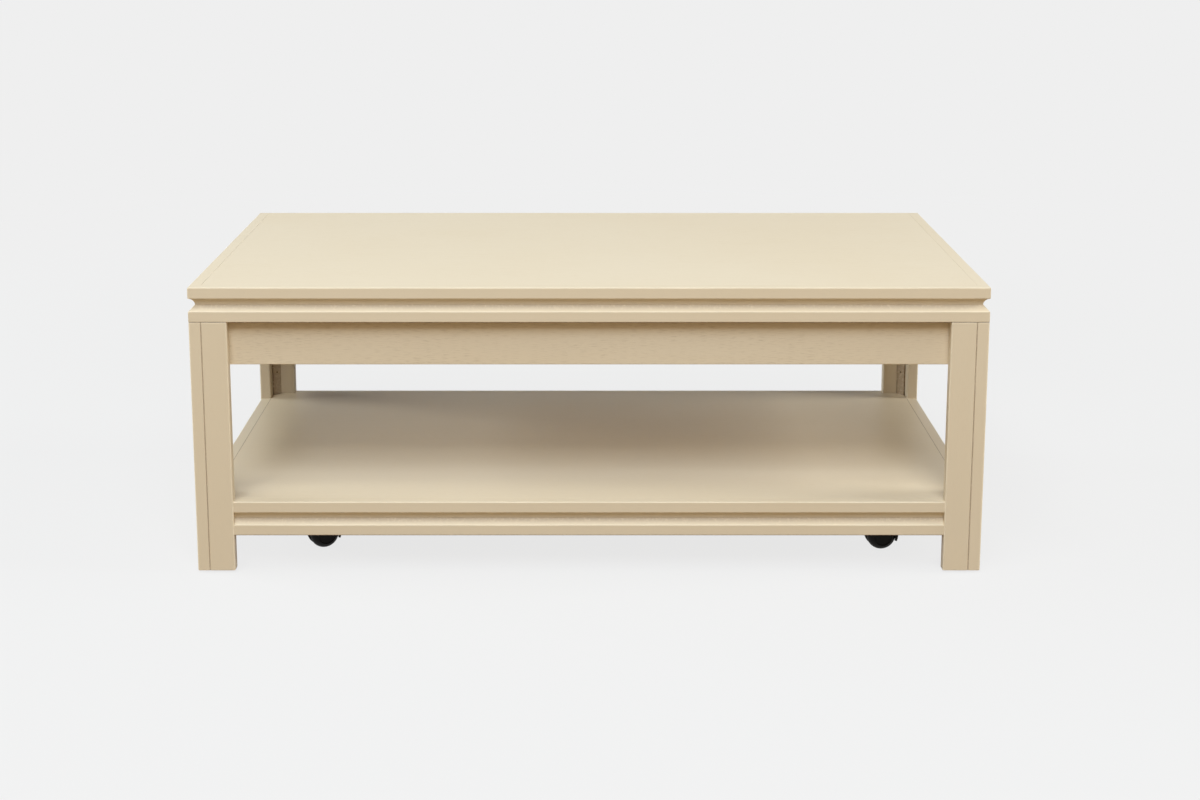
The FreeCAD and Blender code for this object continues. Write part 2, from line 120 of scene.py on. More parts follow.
class TableEdges(bpy.types.PropertyGroup):
    """Sizes of the mouldings and of the eased edges."""

    band_height: length("Band", "Height of each flat band of the edge moulding", 0.0185)
    slope_height: length("Slope", "Height of the slope that rises from the lower band to the cove", 0.0085)
    cove_depth: length("Cove depth", "How deep the cove between the bands is", 0.0102)
    arris: length("Moulding arris", "Radius of the moulding's outer edges", 0.0015)
    cove_arris: length("Cove arris", "Radius of the edge above the cove", 0.0008)
    slope_arris: length("Slope arris", "Radius of the edge below the slope", 0.0014)
    mitre_arris: length("Corner arris", "Radius of the upright corners where mouldings are mitred", 0.0016)
    panel_ease: length("Panel ease", "Radius along the joint of a panel and its moulding", 0.0005)
    panel_corner: length("Panel corner", "Radius of a panel's upright corners", 0.002)
    ledge_height: length("Panel thickness", "Depth of the rebate that a panel lies in", 0.018)
    leg_arris: length("Leg arris", "Radius of the legs' outer edges", 0.002)
    leg_joint: length("Leg joint", "Radius each side of the joint between two leg boards", 0.0014)
    leg_end: length("Leg ends", "Radius round the top and the foot of a leg", 0.0009)
    apron_arris: length("Apron arris", "Radius of the aprons' lower edges", 0.001)
    block_ease: length("Block ease", "Radius of the corner blocks' ends", 0.0006)
    block_arris: length("Block arris", "How far the corner blocks' upright edges are taken off", 0.0045)
    head_proud: length("Heads proud", "How far nail and screw heads stand out of the timber", 0.0002)
    hand_wave: length("Sanding wave", "How far hand sanding makes an eased edge waver", 0.00018)


class LacquerFinish(bpy.types.PropertyGroup):
    """Colours and gloss of the cream lacquer."""

    cream: colour("Cream", "Colour of the lacquer", 219, 205, 180)
    # Partly a painted highlight: rounded edges and leg tops are paler where light catches them, as well as
    # where the lacquer is thin
    edge_and_highlight_cream: colour("Edge", "Paler colour where the lacquer lies thin on an edge", 231, 220, 198)
    # This brown also serves as painted shade under the mouldings' lower edges, on their cove slopes and
    # over the corner blocks
    seam_and_shade_brown: colour("Seam", "Dark line where two boards meet", 118, 88, 62)
    pore_brown: colour("Pores", "Open pores that show through the lacquer", 160, 138, 106)
    gloss: share("Roughness", "Roughness of the satin lacquer", 0.44)
    sheen: share("Sheen", "How strongly the lacquer mirrors its surroundings", 0.28)


class TimberFinish(bpy.types.PropertyGroup):
    """Colours of the timber that is hidden under the table."""

    early_wood: colour("Early wood", "Pale wood between the rings", 214, 178, 130)
    late_wood: colour("Late wood", "Darker wood of the rings", 176, 130, 84)
    beech: colour("Beech", "Colour of the dowels", 206, 160, 112)


class CastorFinish(bpy.types.PropertyGroup):
    """Colours of the castors and the metal fittings."""

    nylon: colour("Nylon", "Colour of the hoods and wheels", 14, 12, 8)
    dust: colour("Dust", "Dust and scuffs on the nylon", 44, 40, 33)
    nylon_sheen: share("Nylon sheen", "How strongly the nylon mirrors its surroundings", 0.15)
    zinc: colour("Zinc", "Colour of the zinc-plated steel", 196, 198, 198)
    tarnish: colour("Tarnish", "Darker patches of the zinc", 150, 148, 140)
    nail: colour("Nail heads", "Dark heads of the pins in the corner blocks", 58, 44, 32)


class StudioStage(bpy.types.PropertyGroup):
    """Floor, light and camera."""

    backdrop: colour("Backdrop", "Colour of the backdrop and the floor", 239, 239, 239)
    floor_paint: colour("Floor paint", "Colour of the floor that catches the shadow", 165, 165, 165)
    floor_bounce: colour("Floor bounce", "Colour of the light that the floor sends back", 163, 139, 108)
    floor_lift: share("Floor lift", "How much of the floor's look near the table is plain white", 0.78)
    ambient: FloatProperty(
        name="Ambient",
        description="Strength of the light from all round",
        default=0.0,
        min=0.0,
    )
    front_light: power("Front light", "Power of the wide light at the front", 342.0)
    low_light: power("Low light", "Power of the low light at the front", 76.0)
    high_light: power("High light", "Power of the light high on the left", 132.0)
    left_light: power("Left light", "Power of the low light on the left", 350.0)
    right_light: power("Right light", "Power of the tall light on the right", 302.0)
    camera_place: FloatVectorProperty(
        name="Camera",
        description="Where the camera stands",
        default=(-0.0017, -3.3559, 1.1356),
        subtype="TRANSLATION",
    )
    camera_dip: FloatProperty(
        name="Dip",
        description="How far the camera looks down",
        default=math.radians(10.897),
        subtype="ANGLE",
    )
    lens: FloatProperty(name="Lens", description="Focal length", default=57.1, subtype="DISTANCE_CAMERA")
    shift_x: FloatProperty(name="Shift across", description="Sideways lens shift", default=0.01)
    shift_y: FloatProperty(name="Shift up", description="Upward lens shift", default=-0.13)


# Surfaces

# How brown the joints between pieces look: filled under the lacquer, between leg boards, or left open
FILLED_JOINT = 0.15
LEG_JOINT = 0.4
OPEN_JOINT = 0.85
# Painted shade, as shares of the joints' brown: along a moulding's lower edge, on its slope where the band
# above the cove shadows it, and over a corner block in its leg's inner corner
LOWER_EDGE_SHADE = 0.9
GROOVE_SHADE = 0.34
BLOCK_SHADE = 0.5
GROOVE_SHADE_FADE = 9  # power of the distance left up the cove by which the groove's tone fades
SUPPORT = 0.0004  # flat strip kept beside a rounded edge, so that wide faces shade flat
ROUND_STEPS = 6
COVE_STEPS = 18
RUN_STEP = 0.012  # distance between the rings of a long piece
SHARP_ANGLE = math.radians(35)  # faces that meet at more than this keep a crisp edge


def rounded_corner(corner, back, forward, radius, steps=ROUND_STEPS):
    """A rounded corner of an outline and the weight of the rounding at each of its points.

    A point is corner + radius * (back * (1 - sin t) + forward * (1 - cos t)) for t from nothing to a
    quarter turn; back and forward are unit directions along the two sides. One point is kept on each flat
    side too.
    """
    turn = np.linspace(0, np.pi / 2, steps + 1)[:, None]
    corner, back, forward = (np.array(vector, float) for vector in (corner, back, forward))
    arc = corner + radius * (back * (1 - np.sin(turn)) + forward * (1 - np.cos(turn)))
    flat = radius + SUPPORT
    points = np.vstack([corner + back * flat, arc, corner + forward * flat])
    weight = np.concatenate([[0], np.sqrt(np.sin(2 * turn[:, 0])), [0]])
    return points, weight


def outline_of(corners):
    """A closed outline of straight sides with rounded corners, each given as (x, y, radius, brown share).

    Returns the points, the weight of plain rounded edges and the weight of browned edges: joints between
    leg boards, and the corner blocks' edges, which are partly painted shade.
    """
    places = np.array([corner[:2] for corner in corners], float)
    back = np.roll(places, 1, axis=0) - places
    forward = np.roll(places, -1, axis=0) - places
    back /= np.linalg.norm(back, axis=1, keepdims=True)
    forward /= np.linalg.norm(forward, axis=1, keepdims=True)
    points, edges, seams_and_shade = [], [], []
    for index, (_, _, radius, seam) in enumerate(corners):
        arc, weight = rounded_corner(places[index], back[index], forward[index], radius)
        points.append(arc)
        edges.append(weight * (1 - seam))
        seams_and_shade.append(weight * seam)
    return np.vstack(points), np.concatenate(edges), np.concatenate(seams_and_shade)


def inward_of(points):
    """Unit directions into a closed outline: the chord between a point's neighbours, turned a quarter."""
    chord = np.roll(points, -1, axis=0) - np.roll(points, 1, axis=0)
    chord /= np.linalg.norm(chord, axis=1, keepdims=True)
    across = np.stack([-chord[:, 1], chord[:, 0]], axis=1)
    x, y = points.T
    turning = np.sum(x * np.roll(y, -1) - np.roll(x, -1) * y)
    return across * np.sign(turning)


def eased_ends(low, high, ease):
    """Levels along a board from low to high, how far it is drawn in there, and the weight of the eased end.

    Each end is a quarter round, after one ring on the flat end itself.
    """
    turn = np.linspace(0, np.pi / 2, ROUND_STEPS + 1)
    rise = np.concatenate([[0], ease * (1 - np.cos(turn))])
    inset = np.concatenate([[ease + SUPPORT], ease * (1 - np.sin(turn))])
    weight = np.concatenate([[0], np.sin(2 * turn)])
    count = max(2, int((high - low) / RUN_STEP))
    middle = np.linspace(low + ease + SUPPORT, high - ease - SUPPORT, count)
    plain = np.zeros(count)
    levels = np.concatenate([low + rise, middle, high - rise[::-1]])
    insets = np.concatenate([inset, plain, inset[::-1]])
    weights = np.concatenate([weight, plain, weight[::-1]])
    return levels, insets, weights


def sanding_wave(along, seed):
    """A smooth uneven line from about -1 to 1: three sines of unlike lengths, with phases from the seed."""
    lengths = np.array([0.31, 0.173, 0.089])
    strengths = np.array([0.5, 0.3, 0.2])
    phases = seed * np.array([1.7, 2.9, 4.3])
    return np.sum(strengths * np.sin(2 * np.pi * along[..., None] / lengths + phases), axis=-1)


def board_rings(corners, low, high, ease, wave, seed):
    """An outline carried along a third axis from low to high.

    Each ring is the outline drawn in by the eased ends; on rounded edges the sanding wave draws it in a
    little more. Returns rings of (across, across, along) points, the weights of pale edges, and the weights
    of brown joints and painted shade.
    """
    points, edges, seams_and_shade = outline_of(corners)
    inward = inward_of(points)
    levels, inset, end_weight = eased_ends(low, high, ease)
    sanded = wave * (1 + sanding_wave(levels, seed))[:, None] * edges
    drawn = points + inward * (inset[:, None] + sanded)[..., None]
    along = np.broadcast_to(levels[:, None, None], drawn.shape[:2] + (1,))
    on_side = (inset <= ease)[:, None]
    edge_weight = np.clip(edges + end_weight[:, None], 0, 1) * on_side
    return np.concatenate([drawn, along], axis=-1), edge_weight, seams_and_shade * on_side


def moulding_profile(edges, lip, width, height, panel_joint):
    """The moulding's section as (depth, level) points, with the weights of its pale edges and of its brown
    joint and painted shade.

    A band with rounded arrises, a slope that rises inward, a cove, a second band, the top of the lip, and
    the rebate behind it. The cove is the circle that stands upright on the slope's end and meets the upper
    arris.
    """
    cove_low, cove_high = edges.band_height, height - edges.band_height
    slope_high = cove_low + edges.slope_height
    sag, rise = edges.cove_depth - edges.cove_arris, cove_high - slope_high
    radius = (sag**2 + rise**2) / (2 * sag)
    turn = np.linspace(0, math.atan2(rise, radius - sag), COVE_STEPS + 1)[:-1]
    cove_back = edges.cove_depth - radius * (1 - np.cos(turn))
    cove_level = slope_high + radius * np.sin(turn)
    cove = np.stack([cove_back, cove_level], axis=1)
    ledge = height - edges.ledge_height
    hidden = np.array([(lip, ledge), (width, ledge), (width, 0)])
    out, back, up, down = (-1, 0), (1, 0), (0, 1), (0, -1)
    stretches = [
        # points, weight of the rounding, how pale it looks (partly a painted highlight), and how brown: the
        # panel joint's line, and painted shade on the lower edge and on the slope
        # Painted shade along the lower edge, where the gap above the legs and the recess above the aprons
        # lie in shade
        (*rounded_corner((0, 0), back, up, edges.arris), 0, LOWER_EDGE_SHADE),
        (*rounded_corner((0, cove_low), down, back, edges.slope_arris), 1, 0),
        # Painted shade strongest where the slope meets the cove, fading down the slope and quickly up the
        # cove, as the band above shadows the groove
        (cove, np.linspace(1, 0, len(cove)) ** GROOVE_SHADE_FADE, 0, GROOVE_SHADE),
        (*rounded_corner((0, cove_high), back, up, edges.cove_arris), 1, 0),
        (*rounded_corner((0, height), down, back, edges.arris), 1, 0),
        (*rounded_corner((lip, height), out, down, edges.panel_ease), 0, panel_joint),
        (hidden, np.zeros(len(hidden)), 0, 0),
    ]
    points = np.vstack([stretch[0] for stretch in stretches])
    edge = np.concatenate([weight * pale for _, weight, pale, _ in stretches])
    seam = np.concatenate([weight * brown for _, weight, _, brown in stretches])
    return points, edge, seam


def mitred_run(depth, run, corner_radius):
    """Where the points of a mitred moulding lie along its run, and how deep, ring by ring.

    Near each end the outer face follows a circle of the corner's radius about the point that lies as far in
    from both faces, up to the mitre at an eighth of a turn; points behind that circle end on the mitre.
    """
    turn = np.linspace(np.pi / 4, 0, ROUND_STEPS)[:, None]
    arm = np.clip(corner_radius - depth, 0, None)
    behind = depth >= corner_radius
    start = np.where(behind, depth + SUPPORT * (1 - 4 * turn / np.pi), corner_radius - arm * np.sin(turn))
    deep = np.where(behind, depth, corner_radius - arm * np.cos(turn))
    share_along = np.linspace(0, 1, int(run / RUN_STEP))[1:-1, None]
    straight = start[-1] + share_along * (run - 2 * start[-1])
    along = np.vstack([start, straight, run - start[::-1]])
    deep = np.vstack([deep, np.broadcast_to(depth, straight.shape), deep[::-1]])
    return along, deep


def butted_run(depth, run):
    """Where the points of a square-ended moulding lie along its run, and how deep, ring by ring."""
    along = np.linspace(0, run, int(run / RUN_STEP))[:, None]
    shape = (len(along), len(depth))
    return np.broadcast_to(along, shape), np.broadcast_to(depth, shape)


def put_mesh(name, rings, edge, seam, seed):
    """A closed skin over rings of points: four-sided faces from ring to ring and a cap at each end.

    The weights and the seed are stored at its points, for the finish to read.
    """
    count, around = rings.shape[:2]
    index = np.arange(count * around).reshape(count, around)
    turned = np.roll(index, -1, axis=1)
    quads = np.stack([index[:-1], turned[:-1], turned[1:], index[1:]], axis=-1).reshape(-1, 4)
    faces = quads.tolist() + [index[0][::-1].tolist(), index[-1].tolist()]
    mesh = bpy.data.meshes.new(name)
    mesh.from_pydata(rings.reshape(-1, 3).tolist(), [], faces)
    for label, weight in (("edge", edge), ("seam", seam), ("board", np.full((1, 1), seed))):
        values = np.broadcast_to(weight, (count, around)).astype(np.float32).ravel()
        mesh.attributes.new(label, "FLOAT", "POINT").data.foreach_set("value", values)
    shell = bmesh.new()
    shell.from_mesh(mesh)
    bmesh.ops.recalc_face_normals(shell, faces=shell.faces)
    shell.to_mesh(mesh)
    shell.free()
    mesh.shade_smooth()
    mesh.set_sharp_from_angle(angle=SHARP_ANGLE)
    return mesh


def stand_for(node, mesh, material):
    """A new piece in place of a CAD node of the table."""
    piece = bpy.data.objects.new(f"{node}_finished", mesh)
    bpy.context.scene.collection.objects.link(piece)
    mesh.materials.append(material)
    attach(piece, "table")
    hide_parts(node)
    return piece


def coat_node(node, material):
    """A CAD node's own mesh in a new finish."""
    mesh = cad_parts[node].data
    mesh.materials.clear()
    mesh.materials.append(material)


# Shader sums

# Colour sockets of a Mix node, by number because its other kinds of data use the same names
MIX_FACTOR, MIX_FIRST, MIX_SECOND, MIX_RESULT = 0, 6, 7, 2


class Reading:
    """A shader value: an operator on it adds a Math node and gives the result."""

    def __init__(self, sheet, socket):
        self.sheet = sheet
        self.socket = socket

    def combine(self, operation, other):
        return self.sheet.node("ShaderNodeMath", {"operation": operation}, {0: self, 1: other})

    def __add__(self, other):
        return self.combine("ADD", other)

    def __sub__(self, other):
        return self.combine("SUBTRACT", other)

    def __mul__(self, other):
        return self.combine("MULTIPLY", other)

    def highest(self, other):
        return self.combine("MAXIMUM", other)

    __radd__ = __add__
    __rmul__ = __mul__


class ShaderSheet:
    """The node tree of a material or of the world."""

    def __init__(self, tree):
        self.tree = tree
        tree.nodes.clear()

    def node(self, kind, settings=None, sockets=None, output=0):
        """Adds a node with its settings, gives its sockets values or links, and returns one output."""
        made = self.tree.nodes.new(kind)
        for name, value in (settings or {}).items():
            setattr(made, name, value)
        for name, value in (sockets or {}).items():
            if isinstance(value, Reading):
                self.tree.links.new(value.socket, made.inputs[name])
            else:
                made.inputs[name].default_value = value
        return Reading(self, made.outputs[output]) if made.outputs else None

    def mix(self, factor, first, second):
        """One colour over another."""
        settings = {"data_type": "RGBA", "clamp_factor": True}
        sockets = {MIX_FACTOR: factor, MIX_FIRST: opaque(first), MIX_SECOND: opaque(second)}
        return self.node("ShaderNodeMix", settings, sockets, MIX_RESULT)

    def place(self):
        """Object coordinates."""
        return self.node("ShaderNodeTexCoord", output="Object")

    def stretched(self, scale):
        """Object coordinates multiplied on each axis."""
        return self.node("ShaderNodeVectorMath", {"operation": "MULTIPLY"}, {0: self.place(), 1: scale})

    def length_of(self, vector):
        """How long a vector is."""
        return self.node("ShaderNodeVectorMath", {"operation": "LENGTH"}, {0: vector}, "Value")

    def attribute(self, name):
        """A value that the mesh stores at its points."""
        return self.node("ShaderNodeAttribute", {"attribute_name": name}, output="Fac")

    def noise(self, vector, scale, detail=2.0, seed=0.0, roughness=0.5):
        """Smooth noise of so many waves a metre; each seed gives another pattern."""
        sockets = {"Vector": vector, "W": seed, "Scale": scale, "Detail": detail, "Roughness": roughness}
        return self.node("ShaderNodeTexNoise", {"noise_dimensions": "4D"}, sockets)

    def grain_noise(self, grain, along, across, detail=2.0, seed=0.0, roughness=0.5):
        """Noise with fewer waves a metre along the grain's axis than across it."""
        vector = self.stretched(grain_stretch(grain, along, across))
        return self.noise(vector, 1, detail, seed, roughness)

    def between(self, value, low, high):
        """How far a value lies between two levels, eased at both ends."""
        sockets = {"Value": value, "From Min": low, "From Max": high}
        return self.node("ShaderNodeMapRange", {"interpolation_type": "SMOOTHSTEP"}, sockets)

    def bump(self, height, strength, distance):
        """A normal that follows a height."""
        sockets = {"Height": height, "Strength": strength, "Distance": distance}
        return self.node("ShaderNodeBump", {}, sockets)


def opaque(value):
    """A colour with full cover, or a link as it is."""
    return value if isinstance(value, Reading) else (*value, 1.0)


def new_material(name, build):
    """A material whose Principled shader gets the sockets that a build function works out."""
    material = bpy.data.materials.get(name)
    if material is None:
        material = bpy.data.materials.new(name)
        material.use_nodes = True
        sheet = ShaderSheet(material.node_tree)
        surface = sheet.node("ShaderNodeBsdfPrincipled", {}, build(sheet))
        sheet.node("ShaderNodeOutputMaterial", {}, {"Surface": surface})
    return material


# Finishes

GRAIN_AXES = {"x": 0, "y": 1, "z": 2}
FILLED_GRAIN, OPEN_GRAIN = 0, 1  # how open the pores under the lacquer are
WARM_TINT = (0.975, 0.955, 0.925)  # the lacquer's warmer patches, as shares of its plain colour
RINGS_A_METRE = 170  # growth rings of the hidden softwood


def grain_stretch(grain, along, across):
    """Scales for a pattern that is long on the grain's axis."""
    scale = [across] * 3
    scale[GRAIN_AXES[grain]] = along
    return tuple(scale)


def cream_lacquer(grain, pores):
    """Satin cream lacquer on boards that run along one axis; pores says how open the grain under it is."""
    finish = bpy.context.scene.table_lacquer
    cream = tuple(finish.cream)
    warm = tuple(channel * tint for channel, tint in zip(cream, WARM_TINT))

    def build(sheet):
        board = sheet.attribute("board")
        place = sheet.place()
        clouds = sheet.noise(place, scale=2.6, detail=3, seed=board)
        streaks = sheet.grain_noise(grain, along=3, across=95, detail=4, seed=board, roughness=0.6)
        pore_field = sheet.grain_noise(grain, along=62, across=900, seed=board)
        pore_patches = sheet.between(sheet.grain_noise(grain, along=4, across=22, seed=board), 0.3, 0.7)
        pore = sheet.between(pore_field, 0.5, 0.68) * (0.35 + 0.65 * pore_patches)
        wear = sheet.noise(place, scale=45, detail=3, seed=board)
        breaks = sheet.between(sheet.noise(place, scale=210, detail=3, seed=board), 0.2, 0.55)
        cloudy = 0.6 * sheet.between(clouds, 0.3, 0.72)
        streaky = (0.1 + 0.3 * pores) * sheet.between(streaks, 0.4, 0.75)
        porous = (0.04 + 0.3 * pores) * pore
        # Pale edges, partly lacquer worn thin and partly a painted highlight on the rounded arrises and the
        # leg tops
        thin = sheet.attribute("edge") * (0.25 + 0.6 * wear)
        # Brown of the joints, and painted shade under the mouldings' lower edges, on their cove slopes and
        # over the corner blocks
        joint_and_shade = sheet.attribute("seam") * (0.35 + 0.65 * breaks)
        shade = sheet.mix(cloudy, cream, warm)
        shade = sheet.mix(streaky, shade, warm)
        shade = sheet.mix(porous, shade, tuple(finish.pore_brown))
        shade = sheet.mix(thin, shade, tuple(finish.edge_and_highlight_cream))
        shade = sheet.mix(joint_and_shade, shade, tuple(finish.seam_and_shade_brown))
        peel = sheet.noise(place, scale=620, seed=board)
        flow = sheet.noise(place, scale=34, seed=board)
        relief = 0.35 * peel + 0.65 * flow - (0.4 + 1.2 * pores) * pore
        smoothest = finish.gloss - 0.05
        return {
            "Base Color": shade,
            "Roughness": smoothest + 0.07 * clouds + 0.05 * streaks + (0.1 + 0.2 * pores) * pore,
            "Specular IOR Level": finish.sheen,
            "Normal": sheet.bump(relief, strength=0.12, distance=0.0006),
        }

    kind = "open" if pores == OPEN_GRAIN else "filled"
    return new_material(f"cream_lacquer_{grain}_{kind}", build)


def bare_timber(grain):
    """Sawn softwood: warped rings round the grain's axis, taken as the pith, and fine fibres along it."""
    finish = bpy.context.scene.table_timber

    def build(sheet):
        warp = sheet.grain_noise(grain, along=2.2, across=9, detail=3)
        from_pith = sheet.length_of(sheet.stretched(grain_stretch(grain, along=0, across=1)))
        ring_count = RINGS_A_METRE * from_pith + 5 * warp
        ring = sheet.node("ShaderNodeMath", {"operation": "FRACT"}, {0: ring_count})
        fibres = sheet.grain_noise(grain, along=14, across=700, detail=4)
        clouds = sheet.noise(sheet.place(), scale=7, detail=3)
        late = sheet.between(ring, 0.35, 0.95) * (0.55 + 0.5 * clouds)
        fibrous = 0.35 * sheet.between(fibres, 0.45, 0.8)
        shade = sheet.mix(late, tuple(finish.early_wood), tuple(finish.late_wood))
        shade = sheet.mix(fibrous, shade, tuple(finish.late_wood))
        return {
            "Base Color": shade,
            "Roughness": 0.58 + 0.14 * fibres,
            "Normal": sheet.bump(fibres + 0.4 * ring, strength=0.25, distance=0.0005),
        }

    return new_material(f"bare_timber_{grain}", build)


def beech():
    """Fluted beech dowel: even pinkish wood with short dark flecks."""
    finish = bpy.context.scene.table_timber

    def build(sheet):
        place = sheet.place()
        flecks = sheet.between(sheet.noise(place, scale=420, detail=3), 0.58, 0.7)
        clouds = sheet.noise(place, scale=30)
        shade = sheet.mix(0.5 * clouds, tuple(finish.beech), tuple(finish.early_wood))
        shade = sheet.mix(0.5 * flecks, shade, tuple(finish.late_wood))
        return {
            "Base Color": shade,
            "Roughness": 0.55 + 0.1 * clouds,
            "Normal": sheet.bump(flecks, strength=0.15, distance=0.0003),
        }

    return new_material("beech_dowel", build)


def castor_nylon(name, scuffs):
    """Moulded black nylon with a fine spark texture, a little dust, and as many scuffs as are asked for."""
    finish = bpy.context.scene.table_castors

    def build(sheet):
        place = sheet.place()
        spark = sheet.noise(place, scale=1500)
        clouds = sheet.noise(place, scale=60, detail=4, roughness=0.6)
        scratch_field = sheet.noise(place, scale=330, detail=4, seed=3.0, roughness=0.7)
        scratches = sheet.between(scratch_field, 0.56, 0.74)
        dusty = 0.22 * sheet.between(clouds, 0.5, 0.8) + scuffs * scratches
        return {
            "Base Color": sheet.mix(dusty, tuple(finish.nylon), tuple(finish.dust)),
            "Roughness": 0.5 + 0.12 * clouds + 0.25 * scuffs * scratches,
            "Specular IOR Level": finish.nylon_sheen,
            "Normal": sheet.bump(spark + scratches, strength=0.14, distance=0.0002),
        }

    return new_material(name, build)


def zinc_steel():
    """Zinc-plated steel with faint crystals, tarnish in patches and fine scratches."""
    finish = bpy.context.scene.table_castors

    def build(sheet):
        place = sheet.place()
        cells = {"Vector": place, "Scale": 420.0}
        crystals = sheet.node("ShaderNodeTexVoronoi", {"feature": "F1"}, cells, "Color")
        grey = sheet.node("ShaderNodeRGBToBW", {}, {"Color": crystals})
        patches = sheet.between(sheet.noise(place, scale=90, detail=4), 0.42, 0.68)
        scratches = sheet.noise(place, scale=900, detail=3)
        shade = sheet.mix(0.6 * patches, tuple(finish.zinc), tuple(finish.tarnish))
        shade = sheet.mix(0.25 * grey, shade, tuple(finish.tarnish))
        return {
            "Base Color": shade,
            "Metallic": 1.0,
            "Roughness": 0.26 + 0.14 * patches + 0.08 * grey,
            "Normal": sheet.bump(scratches, strength=0.08, distance=0.0002),
        }

    return new_material("zinc_steel", build)


def dark_nail():
    """Browned steel of the small pin heads."""
    finish = bpy.context.scene.table_castors

    def build(sheet):
        spots = sheet.noise(sheet.place(), scale=800, detail=3)
        worn = tuple(1.8 * channel for channel in finish.nail)
        return {
            "Base Color": sheet.mix(0.6 * spots, tuple(finish.nail), worn),
            "Metallic": 0.4,
            "Roughness": 0.5 + 0.2 * spots,
            "Normal": sheet.bump(spots, strength=0.2, distance=0.0002),
        }

    return new_material("dark_nail", build)


# Pieces

# Numbers from which the lacquered boards are counted, so that each has its own pattern
FIRST_PANEL = 1
FIRST_MOULDING = 10
FIRST_LEG_BOARD = 30
FIRST_APRON = 50


def outer_and_inner(node, sx, sy):
    """The plan corners of a leg's piece that lie farthest from the table's centre and nearest to it."""
    low, high = span(node)
    beyond = np.array((sx, sy)) > 0
    return np.where(beyond, high[:2], low[:2]), np.where(beyond, low[:2], high[:2])


class COFFEE_TABLE_OT_panels(bpy.types.Operator):
    """Lay the panels of the top and of the shelf in their mouldings"""

    bl_idname = "coffee_table.panels"
    bl_label = "Panels"

    def execute(self, context):
        edges = context.scene.table_edges
        block_low, _ = span("leg_back_right_corner_block")
        for seed, node in enumerate(("top_panel", "shelf_panel"), start=FIRST_PANEL):
            low, high = span(node)
            if node == "top_panel":
                plan = [(low[0], low[1]), (high[0], low[1]), (high[0], high[1]), (low[0], high[1])]
            else:
                cut_x, cut_y = block_low[0] - edges.panel_ease, block_low[1] - edges.panel_ease
                plan = [
                    (-cut_x, low[1]),
                    (cut_x, low[1]),
                    (high[0], -cut_y),
                    (high[0], cut_y),
                    (cut_x, high[1]),
                    (-cut_x, high[1]),
                    (low[0], cut_y),
                    (low[0], -cut_y),
                ]
            corners = [(x, y, edges.panel_corner, 0) for x, y in plan]
            rings, edge, seam = board_rings(corners, low[2], high[2], edges.panel_ease, 0, seed)
            at_end = (np.abs(rings[..., 0]) > block_low[0]) & (node == "shelf_panel")
            joint = np.where(at_end, OPEN_JOINT, FILLED_JOINT)
            mesh = put_mesh(node, rings, 0 * edge, joint * edge, seed)
            stand_for(node, mesh, cream_lacquer("x", FILLED_GRAIN))
        return {"FINISHED"}


class COFFEE_TABLE_OT_mouldings(bpy.types.Operator):
    """Run the coved mouldings round the top, mitred, and between the legs round the shelf, butted"""

    bl_idname = "coffee_table.mouldings"
    bl_label = "Edge mouldings"

    def execute(self, context):
        edges = context.scene.table_edges
        lip = span("top_panel")[0][0] - span("top_moulding_front")[0][0]
        seed = FIRST_MOULDING
        for level in ("top", "shelf"):
            for side, (sx, sy) in SIDES.items():
                node = f"{level}_moulding_{side}"
                low, high = span(node)
                size = high - low
                across, run = (size[0], size[1]) if sx else (size[1], size[0])
                joint = OPEN_JOINT if sx and level == "shelf" else FILLED_JOINT
                profile, edge, seam = moulding_profile(edges, lip, across, size[2], joint)
                depth, rise = profile.T
                if level == "top":
                    along, deep = mitred_run(depth, run, edges.mitre_arris)
                else:
                    along, deep = butted_run(depth, run)
                deep = deep + edges.hand_wave * (1 + sanding_wave(along, seed)) * edge
                rise = np.broadcast_to(low[2] + rise, along.shape)
                if sx:
                    outer = (low if sx < 0 else high)[0] - sx * deep
                    rings = np.stack([outer, low[1] + along, rise], axis=-1)
                else:
                    outer = (low if sy < 0 else high)[1] - sy * deep
                    rings = np.stack([low[0] + along, outer, rise], axis=-1)
                mesh = put_mesh(node, rings, edge, seam, seed)
                grain = "y" if sx else "x"
                stand_for(node, mesh, cream_lacquer(grain, FILLED_GRAIN))
                seed += 1
        return {"FINISHED"}


